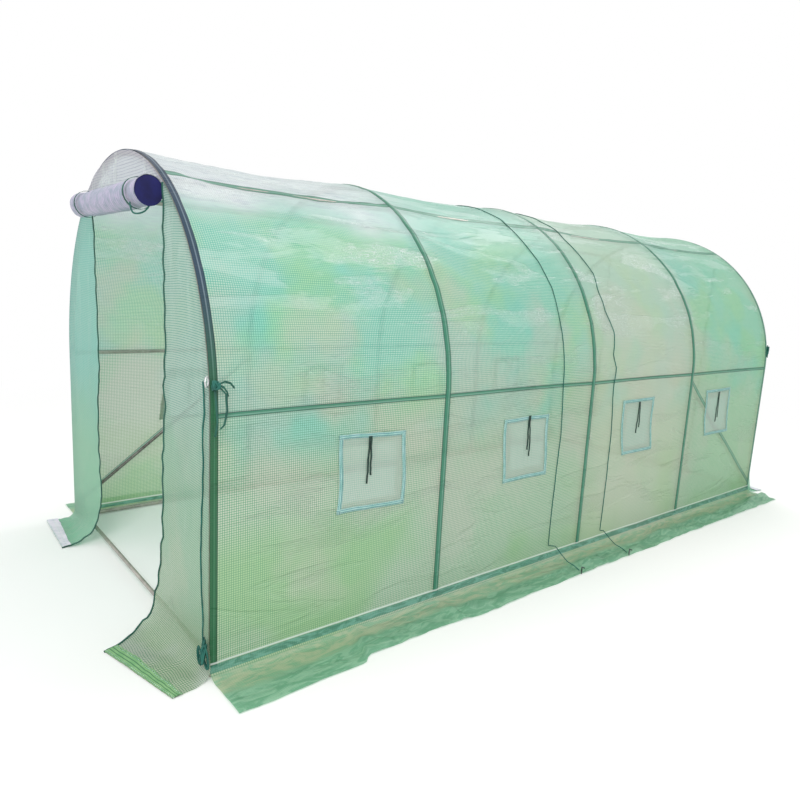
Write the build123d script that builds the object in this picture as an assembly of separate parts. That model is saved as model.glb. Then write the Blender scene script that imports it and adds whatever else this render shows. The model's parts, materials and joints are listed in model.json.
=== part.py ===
"""Walk-in polytunnel: five steel hoops, rails and braces under a translucent sheet cover.

Millimetres. +Z is up and the ground is z = 0. The origin is on the ground at the middle of the tunnel.
The end with the open doorway faces -Y, and +X is the right side, where the brace is at the back.
"""

import os
from math import atan2, cos, degrees, radians, sin, sqrt

from build123d import *

# Frame, measured outside the hoop tubes
tunnel_length = 4500.0
tunnel_width = 2000.0
leg_height = 1000.0
bay_count = 4

# Steel tube
hoop_diameter = 25.0
rail_diameter = 19.0
spigot_diameter = 22.0
spigot_length = 60.0
tab_thickness = 2.0
tab_width = 28.0
tab_overhang = 12.0
flare_length = 34.0
arc_angle = 60.0
end_rail_lift = 30.0
brace_low = 95.0
brace_below_rail = 50.0
brace_overhang = 4.0
nut_across = 13.0
nut_height = 7.0

# Gap left between a piece and what it seats on
seat = 0.3

# Sheet cover
sheet = 2.0
skirt_reach = 210.0
end_skirt_reach = 265.0
end_skirt_corner_reach = 150.0
skirt_top = 70.0
skirt_bend = 45.0
end_skirt_top = 130.0
end_skirt_bend = 110.0
hem_width = 40.0
hem_thickness = 1.0

# Doorways
door_width = 980.0
front_door_shift = 60.0
roll_radius = 60.0
roll_wall = 10.0
roll_below_ridge = 215.0
roll_out = 50.0
roll_tie_width = 18.0
roll_tie_inset = 110.0
edge_binding = 14.0
zip_width = 30.0

# Windows
windows_per_side = 4
window_pitch = 1030.0
window_width = 350.0
window_height = 336.0
window_below_rail = 132.0
border_width = 22.0
border_thickness = 1.0
tie_width = 8.0
tie_lengths = [(205.0, 170.0), (180.0, 215.0), (195.0, 160.0), (215.0, 185.0)]
tie_spread = 11.0

# Ropes over the cover, and their pegs
rope_diameter = 5.0
rope_places = (-240.0, 220.0)
peg_diameter = 7.0
peg_height = 42.0
peg_hook = 16.0

# Worked out from the sizes above
hoop_radius = (tunnel_width - hoop_diameter) / 2
hoop_pitch = (tunnel_length - hoop_diameter) / bay_count
hoop_places = [(i - bay_count / 2) * hoop_pitch for i in range(bay_count + 1)]
tab_plane = hoop_diameter / 2 + seat + tab_thickness / 2
tab_step = tab_thickness + seat
panel_inner = tunnel_length / 2 + seat
panel_outer = panel_inner + sheet
panel_radius = tunnel_width / 2
cover_inner = panel_radius + seat
cover_outer = cover_inner + sheet
cover_half = panel_outer + seat
brace_high = leg_height - brace_below_rail
window_top = leg_height - window_below_rail
roll_height = leg_height + panel_radius - roll_below_ridge
roll_tie_radius = roll_radius + seat + sheet
door_height = roll_height + sqrt((roll_tie_radius + seat) ** 2 - roll_out**2)
front_door = (front_door_shift - door_width / 2, front_door_shift + door_width / 2)
back_door = (-door_width / 2, door_width / 2)


def rod(start, end, radius):
    """A round bar from one point to another."""
    line = Line(start, end)
    return extrude(Plane(origin=start, z_dir=line % 0) * Circle(radius), line.length)


def bent_rod(first, last, radius, place):
    """A round bar bent along a hoop's half circle, between two angles above the horizontal."""
    low = radians(first)
    centre = (hoop_radius * cos(low), place, leg_height + hoop_radius * sin(low))
    profile = Plane(origin=centre, x_dir=(0, 1, 0), z_dir=(-sin(low), 0, cos(low))) * Circle(radius)
    return revolve(profile, Axis((0, place, leg_height), (0, -1, 0)), last - first)


def hoop_leg(place):
    """The right upright of a hoop, with a socket in its top for the arch."""
    foot, top = (hoop_radius, place, 0), (hoop_radius, place, leg_height)
    socket = (hoop_radius, place, leg_height - spigot_length - seat)
    return rod(foot, top, hoop_diameter / 2) - rod(socket, top, spigot_diameter / 2 + seat)


def hoop_arch(place):
    """The half circle of a hoop: shoulders plugged into the legs, and a crown plugged into the shoulders."""
    joint = degrees(seat / hoop_radius)
    reach = degrees(spigot_length / hoop_radius)
    low, high = arc_angle, 180 - arc_angle
    plug = spigot_diameter / 2
    shoulder = bent_rod(joint, low, hoop_diameter / 2, place)
    shoulder -= bent_rod(low - reach - joint, low + joint, plug + seat, place)
    spigot = (hoop_radius, place, leg_height - spigot_length), (hoop_radius, place, leg_height + 1)
    shoulder += rod(*spigot, plug)
    crown = bent_rod(low + joint, high - joint, hoop_diameter / 2, place)
    crown += bent_rod(low - reach, high + reach, plug, place)
    return [shoulder, mirror(shoulder, Plane.YZ), crown]


def across(x, y):
    """The plane that cuts a rail along +Y squarely at one place."""
    return Plane(origin=(x, y, 0), x_dir=(1, 0, 0), z_dir=(0, 1, 0))


def tabbed_rail(length, start_step=0.0, end_step=0.0, overhang=tab_overhang):
    """A rail along +Y between two tube centres, flattened at both ends into tabs that lie on the tubes.

    The tubes are on its +X side. A step moves a tab to -X, so that it stacks on its neighbour's tab.
    """
    radius = rail_diameter / 2
    inset = hoop_diameter / 2 + flare_length
    body = rod((0, inset, 0), (0, length - inset, 0), radius)
    for place, way, step in ((0, 1, start_step), (length, -1, end_step)):
        flat = place + way * hoop_diameter / 2
        ends = [
            across(0, place + way * (inset + 1)) * Ellipse(radius - 0.2, radius - 0.3),
            across(-step, flat) * Ellipse(tab_thickness / 2 - 0.2, tab_width / 2 - 0.3),
        ]
        tab_length = hoop_diameter / 2 + overhang
        tab = Pos(-step, flat - way * (tab_length / 2 - 1), 0) * Box(tab_thickness, tab_length, tab_width)
        tab = fillet(tab.edges().filter_by(Axis.X).sort_by(Axis.Y)[::way][:2], overhang / 2)
        body += loft(ends) + tab
    return body


def rail_line(angle, drop=0.0):
    """The rails of every bay along the right side. The angle is round the hoop, from the top of the legs."""
    turn = radians(angle)
    reach = hoop_radius - tab_plane
    rails = []
    for bay in range(bay_count):
        rail = tabbed_rail(hoop_pitch, end_step=tab_step if bay < bay_count - 1 else 0)
        place = Pos(reach * cos(turn), hoop_places[bay], leg_height - drop + reach * sin(turn))
        rails.append(place * Rot(0, -angle, 0) * rail)
    return rails


def rail_nuts(angle, drop=0.0):
    """The nuts that hold the right rails' tabs, one at each hoop."""
    turn = radians(angle)
    nuts = []
    for i, place in enumerate(hoop_places):
        stack = tab_thickness / 2 + seat + (tab_step if 0 < i < bay_count else 0)
        reach = hoop_radius - tab_plane - stack
        face = Plane(
            origin=(reach * cos(turn), place, leg_height - drop + reach * sin(turn)),
            x_dir=(0, 1, 0),
            z_dir=(-cos(turn), 0, -sin(turn)),
        )
        nuts.append(extrude(face * RegularPolygon(nut_across / 2, 6, major_radius=False), nut_height))
    return nuts


def end_rail():
    """The rail across the front, near the ground between the legs of the first hoop."""
    rail = tabbed_rail(2 * hoop_radius)
    height = tab_width / 2 + end_rail_lift
    return Pos(-hoop_radius, hoop_places[0] + tab_plane, height) * Rot(0, 0, -90) * rail


def side_brace():
    """The brace in the last bay on the right, from rail height down to the last hoop's foot."""
    drop = brace_high - brace_low
    rail = tabbed_rail(sqrt(hoop_pitch**2 + drop**2), overhang=brace_overhang)
    slope = degrees(atan2(drop, hoop_pitch))
    return Pos(hoop_radius - tab_plane, hoop_places[-2], brace_high) * Rot(-slope, 0, 0) * rail


def window_centres():
    return [(i - (windows_per_side - 1) / 2) * window_pitch for i in range(windows_per_side)]


def window_block(thickness, margin, place, depth):
    """A block at one right window, larger by the margin all round. Depth is out from the cover's inside."""
    block = Box(thickness, window_width + 2 * margin, window_height + 2 * margin)
    return Pos(cover_inner + depth + thickness / 2, place, window_top - window_height / 2) * block


def roof_band(first, last):
    """A band of the curved roof between two angles above the horizontal."""
    ring = Circle(cover_outer) - Circle(cover_inner)
    far = 2 * cover_outer
    low, high = radians(first), radians(last)
    corners = [(0, 0), (far * cos(low), far * sin(low)), (far * cos(high), far * sin(high))]
    face = Plane(origin=(0, cover_half, leg_height), x_dir=(1, 0, 0), z_dir=(0, -1, 0))
    return extrude(face * (ring & make_face(Polyline(*corners, close=True))), 2 * cover_half)


def side_wall():
    """The right wall of the cover, from the skirt to the top of the legs, with its window holes."""
    height = leg_height - skirt_top
    wall = Pos(cover_inner + sheet / 2, 0, skirt_top + height / 2) * Box(sheet, 2 * cover_half, height)
    return wall - [window_block(3 * sheet, -border_width, y, -sheet) for y in window_centres()]


def foot_profile(top, bend):
    """The section of the cover's foot: down from the wall, then bent out to the ground. Its x is outward."""
    outer = bend + sheet
    return make_face(
        [
            Line((0, top), (0, outer)),
            RadiusArc((0, outer), (outer, 0), outer),
            Line((outer, 0), (outer, sheet)),
            RadiusArc((outer, sheet), (sheet, outer), -bend),
            Polyline((sheet, outer), (sheet, top), (0, top)),
        ]
    )


def skirt_profile(start, reach):
    """The section of a skirt on the ground, with its hem at the outer edge."""
    hem = reach - hem_width
    top = sheet + hem_thickness
    outline = [(start, 0), (reach, 0), (reach, top), (hem, top), (hem, sheet), (start, sheet)]
    return make_face(Polyline(*outline, close=True))


def side_run(profile):
    """A section carried along the whole right side."""
    face = Plane(origin=(cover_inner, cover_half, 0), x_dir=(1, 0, 0), z_dir=(0, -1, 0))
    return extrude(face * profile, 2 * cover_half)


def end_run(first, last):
    """The foot and skirt of the front between two places across the tunnel."""
    face = Plane(origin=(last, -panel_inner, 0), x_dir=(0, -1, 0), z_dir=(-1, 0, 0))
    profile = foot_profile(end_skirt_top, end_skirt_bend)
    profile += skirt_profile(end_skirt_bend + sheet, end_skirt_reach)
    return extrude(face * profile, last - first)


def end_outline():
    """The whole front as a thin solid, from the top of its foot to the ridge."""
    height = leg_height - end_skirt_top
    face = Pos(0, leg_height) * Circle(panel_radius) & Pos(0, leg_height + panel_radius / 2) * Rectangle(
        2 * panel_radius, panel_radius
    )
    face += Pos(0, end_skirt_top + height / 2) * Rectangle(2 * panel_radius, height)
    return extrude(Plane(origin=(0, -panel_inner, 0), x_dir=(1, 0, 0), z_dir=(0, -1, 0)) * face, sheet)


def end_strip(first, last, low=end_skirt_top, high=door_height):
    """The part of the front between two places across it and two heights."""
    middle = Pos((first + last) / 2, -panel_inner - sheet / 2, (low + high) / 2)
    return end_outline() & middle * Box(last - first, 2 * sheet, high - low)


def end_panel(door_edge):
    """The front panel right of the doorway's edge, with its skirt cut back towards the corner."""
    inner = door_edge + edge_binding
    wide, narrow = -panel_inner - end_skirt_reach, -panel_inner - end_skirt_corner_reach
    corner = make_face(Polyline((inner, wide), (panel_radius, wide), (panel_radius, narrow), close=True))
    return end_strip(inner, panel_radius) + (end_run(inner, panel_radius) - extrude(corner, end_skirt_top))


def binding(door_edge):
    """The binding down the doorway's right edge and out over the skirt."""
    return end_strip(door_edge, door_edge + edge_binding) + end_run(door_edge, door_edge + edge_binding)


def window_flap(place):
    """One right window's cover: a sheet with a raised tape round its edge."""
    depth = sheet + seat
    tape = window_block(border_thickness, 0, place, depth + sheet)
    tape -= window_block(3 * border_thickness, -border_width, place, depth + sheet - border_thickness)
    return window_block(sheet, 0, place, depth) + tape


def window_tie(place, lengths):
    """The two loose straps that hang from the top of a right window."""
    x = cover_inner + 2 * (sheet + seat) + border_thickness + sheet / 2
    top = Pos(x, place, window_top - border_width / 2)
    straps = [
        top * Rot(way * tie_spread, 0, 0) * Pos(0, 0, -length / 2) * Box(sheet, tie_width, length)
        for way, length in zip((-1, 1), lengths)
    ]
    return straps[0] + straps[1]


def rope(place):
    """A rope from peg to peg, down both walls and over the roof."""
    reach = cover_outer + seat + rope_diameter / 2
    ring = (peg_diameter + rope_diameter) / 2 + seat
    low, bend = peg_height / 3, skirt_top + 3 * rope_diameter
    peg_x = cover_inner + skirt_reach + seat + peg_diameter / 2
    half = [(reach, place, leg_height), (reach, place, bend), (peg_x - ring, place, low)]
    cord = rod(half[0], half[1], rope_diameter / 2) + rod(half[1], half[2], rope_diameter / 2)
    cord += Pos(*half[1]) * Sphere(rope_diameter / 2)
    cord += Pos(peg_x, place, low) * Torus(ring, rope_diameter / 2)
    arch = Plane(origin=half[0], x_dir=(0, 1, 0), z_dir=(0, 0, 1)) * Circle(rope_diameter / 2)
    return cord + mirror(cord, Plane.YZ) + revolve(arch, Axis((0, place, leg_height), (0, -1, 0)), 180)


def peg(place):
    """A right peg, upright with its hook outward."""
    x = cover_inner + skirt_reach + seat + peg_diameter / 2
    top = (x, place, peg_height - peg_diameter / 2)
    pin = rod((x, place, 0), top, peg_diameter / 2) + Pos(*top) * Sphere(peg_diameter / 2)
    return pin + rod(top, (x + peg_hook, place, top[2]), peg_diameter / 2)


def mirrored(pieces, plane=Plane.YZ):
    return [mirror(p, plane) for p in pieces]


def write(name, pieces):
    """Writes one node, a file with one or more solids."""
    pieces = pieces if isinstance(pieces, (list, tuple)) else [pieces]
    solids = [s for p in pieces for s in p.solids()]
    export_step(Compound(children=solids) if len(solids) > 1 else solids[0], f"parts/{name}.step")


def write_sides(name, pieces):
    """Writes the right pieces, and the left ones as their mirror image."""
    write(f"{name}_right", pieces)
    write(f"{name}_left", mirrored(pieces))


def write_frame_sides(name, pieces):
    """Writes the right pieces of the frame, and the left ones as the same pieces turned about."""
    write(f"{name}_right", pieces)
    write(f"{name}_left", [Rot(0, 0, 180) * p for p in pieces])


if __name__ == "__main__":
    os.makedirs("parts", exist_ok=True)

    # Frame
    for i, place in enumerate(hoop_places, 1):
        write(f"hoop_{i}_arch", hoop_arch(place))
    write_frame_sides("hoop_legs", [hoop_leg(y) for y in hoop_places])
    write_frame_sides("mid_rail", rail_line(0))
    write_frame_sides("upper_purlin", rail_line(arc_angle))
    write_frame_sides("base_rail", rail_line(0, leg_height - tab_width / 2))
    write("base_rail_front", end_rail())
    write("base_rail_back", Rot(0, 0, 180) * end_rail())
    write("brace_right_back", side_brace())
    write("brace_left_front", Rot(0, 0, 180) * side_brace())
    nuts = rail_nuts(0) + rail_nuts(arc_angle) + rail_nuts(0, leg_height - tab_width / 2)
    write_frame_sides("rail_nuts", nuts)

    # Sheet over the sides and roof
    write("cover_roof_top", roof_band(arc_angle, 180 - arc_angle))
    write_sides("cover_roof", [roof_band(0, arc_angle)])
    write_sides("cover_wall", [side_wall()])
    write_sides("wall_foot", [side_run(foot_profile(skirt_top, skirt_bend))])
    write_sides("skirt", [side_run(skirt_profile(skirt_bend + sheet, skirt_reach))])
    nets = [window_block(sheet, -border_width - seat, y, 0) for y in window_centres()]
    write_sides("window_nets", nets)
    write_sides("window_flaps", [window_flap(y) for y in window_centres()])
    write_sides("window_ties", [window_tie(y, lengths) for y, lengths in zip(window_centres(), tie_lengths)])

    # Ends. Each is made as the front, and the back is turned to face the other way
    for end, (left, right), turn in (("front", front_door, 0), ("back", back_door, 180)):
        facing = Rot(0, 0, turn)
        names = ("left", "right") if end == "front" else ("right", "left")
        write(f"{end}_panel_{names[1]}", facing * end_panel(right))
        write(f"{end}_panel_{names[0]}", facing * mirror(end_panel(-left), Plane.YZ))
        write(f"{end}_bindings", [facing * binding(right), facing * mirror(binding(-left), Plane.YZ)])
        ridge = leg_height + panel_radius
        write(f"{end}_gable", facing * end_strip(-panel_radius, panel_radius, door_height, ridge))
        if end == "back":
            write("back_door", facing * (end_strip(left, right) + end_run(left, right)))

    # Rolled-up front door and its ties
    roll_length = door_width - 2 * seat
    end_face = Plane(
        origin=(front_door[0] + seat, -panel_outer - roll_out, roll_height), x_dir=(0, 1, 0), z_dir=(1, 0, 0)
    )
    roll = extrude(end_face * (Circle(roll_radius) - Circle(roll_radius - roll_wall)), roll_length)
    ring = Circle(roll_tie_radius) - Circle(roll_radius + seat)
    ties = [
        Pos(x, 0, 0) * extrude(end_face * ring, roll_tie_width)
        for x in (roll_tie_inset, roll_length - roll_tie_inset - roll_tie_width)
    ]
    write("front_door_roll", roll)
    write("door_roll_ties", ties)

    # Ropes and pegs
    for i, place in enumerate(rope_places, 1):
        write(f"wind_rope_{i}", rope(place))
    write_sides("rope_pegs", [peg(y) for y in rope_places])
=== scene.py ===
"""Dresses the polytunnel: a creased woven cover over galvanised hoops. Metres, in the row's frame."""

import json
import math

import bmesh
import bpy
import numpy as np
from mathutils import Matrix, Vector, noise


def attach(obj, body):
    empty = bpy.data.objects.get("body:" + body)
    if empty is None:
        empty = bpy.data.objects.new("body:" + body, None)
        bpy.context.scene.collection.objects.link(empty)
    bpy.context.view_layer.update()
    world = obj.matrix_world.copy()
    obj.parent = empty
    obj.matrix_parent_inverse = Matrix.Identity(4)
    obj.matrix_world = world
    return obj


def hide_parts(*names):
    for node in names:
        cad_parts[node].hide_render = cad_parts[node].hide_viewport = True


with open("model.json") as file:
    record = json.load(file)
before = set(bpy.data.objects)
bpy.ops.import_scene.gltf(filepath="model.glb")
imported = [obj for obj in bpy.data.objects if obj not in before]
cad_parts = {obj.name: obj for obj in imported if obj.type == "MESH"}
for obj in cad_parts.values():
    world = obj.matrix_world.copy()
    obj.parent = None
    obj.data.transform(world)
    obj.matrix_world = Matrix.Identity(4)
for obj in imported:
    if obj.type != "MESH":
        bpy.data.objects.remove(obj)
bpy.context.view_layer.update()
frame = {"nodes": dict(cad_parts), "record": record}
scene = bpy.context.scene

# Sizes that the cover shares with the frame
BAY = 1.11875
HOOP_Y = [(k - 2) * BAY for k in range(5)]
END_Y = 2.2515
END_HALF = 0.9985
LEG_TOP = 1.0
COVER_R = 1.0013
BEND = 0.047
SKIRT_REACH = 0.21
DOOR_TOP = 1.8227
DOOR_EDGE = {
    ("front", "left"): -0.43, ("front", "right"): 0.55,
    ("back", "left"): -0.49, ("back", "right"): 0.49,
}
ENDS = (("front", 1), ("back", -1))
SIDES = (("left", -1), ("right", 1))

# Cloth lies no lower than this, end sheets stand this far off the frame, and threads are this far apart
GROUND = 0.0012
STAND_OFF = 0.0018
WEAVE = 0.0092


# Places round the cover's section, in metres from the ridge
ARC_END = COVER_R * math.pi / 2
WALL_END = ARC_END + LEG_TOP - BEND
BEND_END = WALL_END + BEND * math.pi / 2
HEM = BEND_END + SKIRT_REACH - BEND
PURLIN_T = COVER_R * math.pi / 6

# The braces' ends, as the distance from the tunnel's middle and the height
BRACE_HIGH, BRACE_LOW = (1.13, 0.95), (2.225, 0.095)


def section(t):
    """A point of the cover's section and its outward direction, t metres round from the ridge."""
    side, t = (1 if t >= 0 else -1), abs(t)
    if t < ARC_END:
        a = t / COVER_R
        nx, nz = math.sin(a), math.cos(a)
        x, z = COVER_R * nx, LEG_TOP + COVER_R * nz
    elif t < WALL_END:
        x, z, nx, nz = COVER_R, LEG_TOP - (t - ARC_END), 1, 0
    elif t < BEND_END:
        a = (t - WALL_END) / BEND
        nx, nz = math.cos(a), math.sin(a)
        x, z = COVER_R + BEND * (1 - nx), BEND * (1 - nz)
    else:
        x, z, nx, nz = COVER_R + BEND + t - BEND_END, 0, 0, 1
    return side * x, z, side * nx, nz


def smooth(a, b, x):
    """0 up to a, 1 from b on, with a soft step between them."""
    x = min(1, max(0, (x - a) / (b - a)))
    return x * x * (3 - 2 * x)


def ripple(x, y, z=0.0, depth=3):
    """Soft noise between about -1 and 1."""
    return noise.fractal(Vector((x, y, z)), 0.6, 2.1, depth)


def crease(x, y, z=0.0):
    """Noise that is 1 on thin lines and falls off on both sides, as a fold does."""
    return (1 - min(1, abs(ripple(x, y, z, 2)) * 2.4)) ** 2


def bay(y):
    """How far y is across its bay, 0 at a hoop and 1 half way between two."""
    p = (y - HOOP_Y[0]) / BAY
    return abs(math.sin(math.pi * min(4, max(0, p))))


def cover_lift(t, y):
    """How far the cover stands out from its plain section: it hangs in swags between the hoops."""
    s, side = abs(t), (1 if t > 0 else -1)
    span = bay(y)
    loose = span**0.4
    top = 1 - smooth(1.1, 2.0, s)
    front = 1 - smooth(0.0, 1.5, y + END_Y)
    # The sag between hoops
    lift = -0.016 * span * smooth(0.1, 0.5, s) * (1 - smooth(ARC_END - 0.1, WALL_END, s))
    lift -= 0.020 * span * (1 - smooth(0.1, 0.6, s))
    # Long folds and short ones, along the sag
    swag = s - 0.13 * span + 0.05 * ripple(y * 0.9, side * 4.0)
    lift += (0.007 + 0.008 * front) * top * loose * ripple(swag * 6.0, y * 0.55 + side, 3.1)
    lift += 0.004 * top * loose * ripple(swag * 17.0, y * 1.1, 9.4 + side)
    # Broad waves and small dents
    lift += 0.004 * span * ripple(t * 1.6, y * 0.9, 7.7)
    lift += 0.0025 * loose * ripple(t * 5.0 + y * 2.0, y * 4.0 - t * 2.0, 11.0)
    # Gathers beside each hoop, and the rise over it
    near = min(abs(y - h) for h in HOOP_Y)
    lift += 0.004 * top * math.exp(-(((near - 0.06) / 0.05) ** 2)) * ripple(t * 9, y * 2.5, 5)
    lift += 0.005 * math.exp(-((near / 0.018) ** 2))
    return lift


def skirt_place(x, z, t, y):
    """The crumpled skirt: it lies on the ground, with its edge wandering in and out."""
    side = 1 if t > 0 else -1
    d = smooth(WALL_END, HEM - 0.03, abs(t))
    front_flap = 1 - smooth(-1.70, -1.66, y + 0.3 * (abs(t) - HEM))
    reach = 0.014 * ripple(y * 1.7, side * 3.0) + 0.004 * ripple(y * 9, side * 5.0) + 0.03 * front_flap
    x += side * d * (reach + 0.008)
    rise = 1 - smooth(HEM - 0.05, HEM + 0.01, abs(t)) * 0.75
    fold = abs(ripple(y * 2.3 + 0.8 * ripple(y * 1.5, 6), abs(t) * 11, side * 8.0, 4))
    z += d * (0.002 + (0.046 - 0.030 * front_flap) * fold * rise)
    return x, max(z, GROUND)


def grid_piece(name, us, vs, place, keep=lambda u, v: True):
    """A sheet over a grid of values. place gives each point, and the sheet's UV is (u, v)."""
    points = [place(u, v) for u in us for v in vs]
    n = len(vs)
    faces, corners = [], []
    for i in range(len(us) - 1):
        for j in range(n - 1):
            if keep((us[i] + us[i + 1]) / 2, (vs[j] + vs[j + 1]) / 2):
                square = ((i, j), (i, j + 1), (i + 1, j + 1), (i + 1, j))
                faces.append([a * n + b for a, b in square])
                corners += [(us[a], vs[b]) for a, b in square]
    mesh = bpy.data.meshes.new(name)
    mesh.from_pydata(points, [], faces)
    layer = mesh.uv_layers.new(name="cloth")
    layer.data.foreach_set("uv", np.array(corners, np.float32).ravel())
    mesh.polygons.foreach_set("use_smooth", [True] * len(faces))
    mesh.validate()
    piece = bpy.data.objects.new(name, mesh)
    scene.collection.objects.link(piece)
    tidy_mesh(piece)
    return piece


def tidy_mesh(piece):
    """Drops points that no face uses."""
    mesh = piece.data
    used = set()
    for p in mesh.polygons:
        used.update(p.vertices)
    if len(used) < len(mesh.vertices):
        bm = bmesh.new()
        bm.from_mesh(mesh)
        bmesh.ops.delete(bm, geom=[v for v in bm.verts if not v.link_faces], context="VERTS")
        bm.to_mesh(mesh)
        bm.free()


def flat_area(piece):
    """The area of the cut sheet, from its UV."""
    mesh, total = piece.data, 0.0
    layer = mesh.uv_layers["cloth"].data
    for p in mesh.polygons:
        c = [layer[i].uv for i in p.loop_indices]
        total += abs(sum(c[i].x * c[i - 1].y - c[i - 1].x * c[i].y for i in range(len(c)))) / 2
    return total


# Materials


class Nodes:
    """A short way to write the node tree of a material or a world."""

    def __init__(self, owner):
        self.owner = owner
        owner.use_nodes = True
        self.tree = owner.node_tree
        self.tree.nodes.clear()

    def add(self, kind, **values):
        node = self.tree.nodes.new(kind)
        inputs = values.pop("inputs", {})
        for key, value in values.items():
            setattr(node, key, value)
        for key, value in inputs.items():
            if isinstance(value, bpy.types.NodeSocket):
                self.tree.links.new(value, node.inputs[key])
            else:
                node.inputs[key].default_value = value
        return node

    def math(self, operation, a, b=0.0, clamp=False):
        node = self.add("ShaderNodeMath", operation=operation, use_clamp=clamp, inputs={0: a, 1: b})
        return node.outputs[0]

    def plus(self, a, b, clamp=False):
        return self.math("ADD", a, b, clamp)

    def minus(self, a, b):
        return self.math("SUBTRACT", a, b)

    def times(self, a, b, clamp=False):
        return self.math("MULTIPLY", a, b, clamp)

    def larger(self, a, b):
        return self.math("MAXIMUM", a, b)

    def mix(self, factor, a, b):
        node = self.add("ShaderNodeMix", data_type="RGBA", inputs={0: factor, 6: a, 7: b})
        return node.outputs[2]

    def ramp(self, value, low, high, start=0.0, end=1.0):
        node = self.add(
            "ShaderNodeMapRange",
            interpolation_type="SMOOTHSTEP",
            inputs={"Value": value, "From Min": low, "From Max": high, "To Min": start, "To Max": end},
        )
        return node.outputs["Result"]

    def finish(self, shader, kind="ShaderNodeOutputMaterial"):
        self.add(kind, inputs={"Surface": shader})
        return self.owner


def darker(colour, share):
    """A colour with its brightness cut to a share."""
    return tuple(c * share for c in colour[:3]) + (1,)


def threads(n, place, pitch, width):
    """1 along even lines of the coordinate, 0 between them. The width is half a line's share of the pitch."""
    phase = n.math("PINGPONG", n.math("DIVIDE", place, pitch), 0.5)
    return n.ramp(phase, 0.5 - width, 0.5 - width * 0.35)


def within(n, value, low, high, soft):
    """1 where the value is between the two, with soft edges."""
    return n.times(n.ramp(value, low - soft, low), n.ramp(value, high + soft, high))


def cloudy(n, where, scale, low, high, detail=3.0, stretch=(1, 1, 1), seed=0.0, rough=0.5, distortion=0.0):
    """Soft patches, 1 inside and 0 outside, drawn out by the stretch."""
    place = n.add("ShaderNodeMapping", inputs={"Vector": where, "Scale": stretch, "Location": (seed,) * 3})
    noise_inputs = {"Vector": place.outputs[0], "Scale": scale, "Detail": detail, "Roughness": rough}
    cloud = n.add("ShaderNodeTexNoise", inputs={**noise_inputs, "Distortion": distortion})
    return n.ramp(cloud.outputs["Fac"], low, high)


def tube_shade_and_highlight(n, colour, opaque, offset, half, strength, tones):
    """Paints the tube that the sheet lies on: a body in painted shade, a dark outline of painted shade and a
    thin painted highlight line.
    """
    off = n.math("ABSOLUTE", offset)
    inside = n.ramp(off, half, half - 0.003)
    # The dark outline is painted shade, and the thin light line a painted highlight
    edge = within(n, off, half - 0.004, half, 0.002)
    light = within(n, offset, 0.001, 0.004, 0.002)
    tone = n.mix(n.times(edge, 0.9), tones[0], tones[1])
    tone = n.mix(n.times(light, 0.6), tone, tones[2])
    inside = n.times(inside, strength)
    return n.mix(inside, colour, tone), n.larger(opaque, inside)


# A tube's body and dark outline in painted shade, and its thin light line a painted highlight, as they show
# through the cover: most tubes, then the front hoop's legs and its arch
TUBE_SHADING_TONES = ((0.055, 0.27, 0.17, 1), (0.012, 0.08, 0.055, 1), (0.26, 0.50, 0.40, 1))
POST_SHADING_TONES = ((0.020, 0.15, 0.06, 1), (0.006, 0.045, 0.02, 1), (0.06, 0.26, 0.13, 1))
NAVY_SHADING_TONES = ((0.03, 0.06, 0.11, 1), (0.008, 0.012, 0.05, 1), (0.28, 0.36, 0.44, 1))

# Half the width of each tube's mark
RAIL_MARK, PURLIN_MARK, BRACE_MARK, HOOP_MARK = 0.0115, 0.019, 0.014, 0.0175


def cover_tube_shading(n, colour, opaque, axes, round_t):
    """The tubes that show through the main cover, painted on it as bands of shade with a highlight line: mid
    rails, purlins, braces and hoops.
    """
    x, y, height = (axes.outputs[axis] for axis in "XYZ")
    for place, half, strength in ((ARC_END, RAIL_MARK, 0.92), (PURLIN_T, PURLIN_MARK, 0.9)):
        colour, opaque = tube_shade_and_highlight(n, colour, opaque, n.minus(round_t, place), half, strength, TUBE_SHADING_TONES)
    drop = n.minus(height, BRACE_HIGH[1])
    reach = n.minus(n.times(y, n.math("SIGN", x)), BRACE_HIGH[0])
    dy, dz = BRACE_LOW[0] - BRACE_HIGH[0], BRACE_LOW[1] - BRACE_HIGH[1]
    long = math.hypot(dy, dz)
    brace = n.minus(n.times(drop, dy / long), n.times(reach, dz / long))
    strength = n.times(within(n, reach, 0.0, dy, 0.01), 0.75)
    colour, opaque = tube_shade_and_highlight(n, colour, opaque, brace, BRACE_MARK, strength, TUBE_SHADING_TONES)
    bays = n.math("DIVIDE", n.minus(y, HOOP_Y[0]), BAY)
    hoop = n.times(n.minus(n.math("FRACT", n.plus(bays, 0.5)), 0.5), BAY)
    first, rise = n.ramp(y, -2.0, -2.1), n.ramp(height, 1.0, 1.5)
    tones = []
    for tube, post, navy in zip(TUBE_SHADING_TONES, POST_SHADING_TONES, NAVY_SHADING_TONES):
        tones.append(n.mix(first, tube, n.mix(rise, post, navy)))
    strength = n.times(n.ramp(round_t, WALL_END + 0.02, WALL_END), 0.97)
    return tube_shade_and_highlight(n, colour, opaque, hoop, HOOP_MARK, strength, tones)


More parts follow.
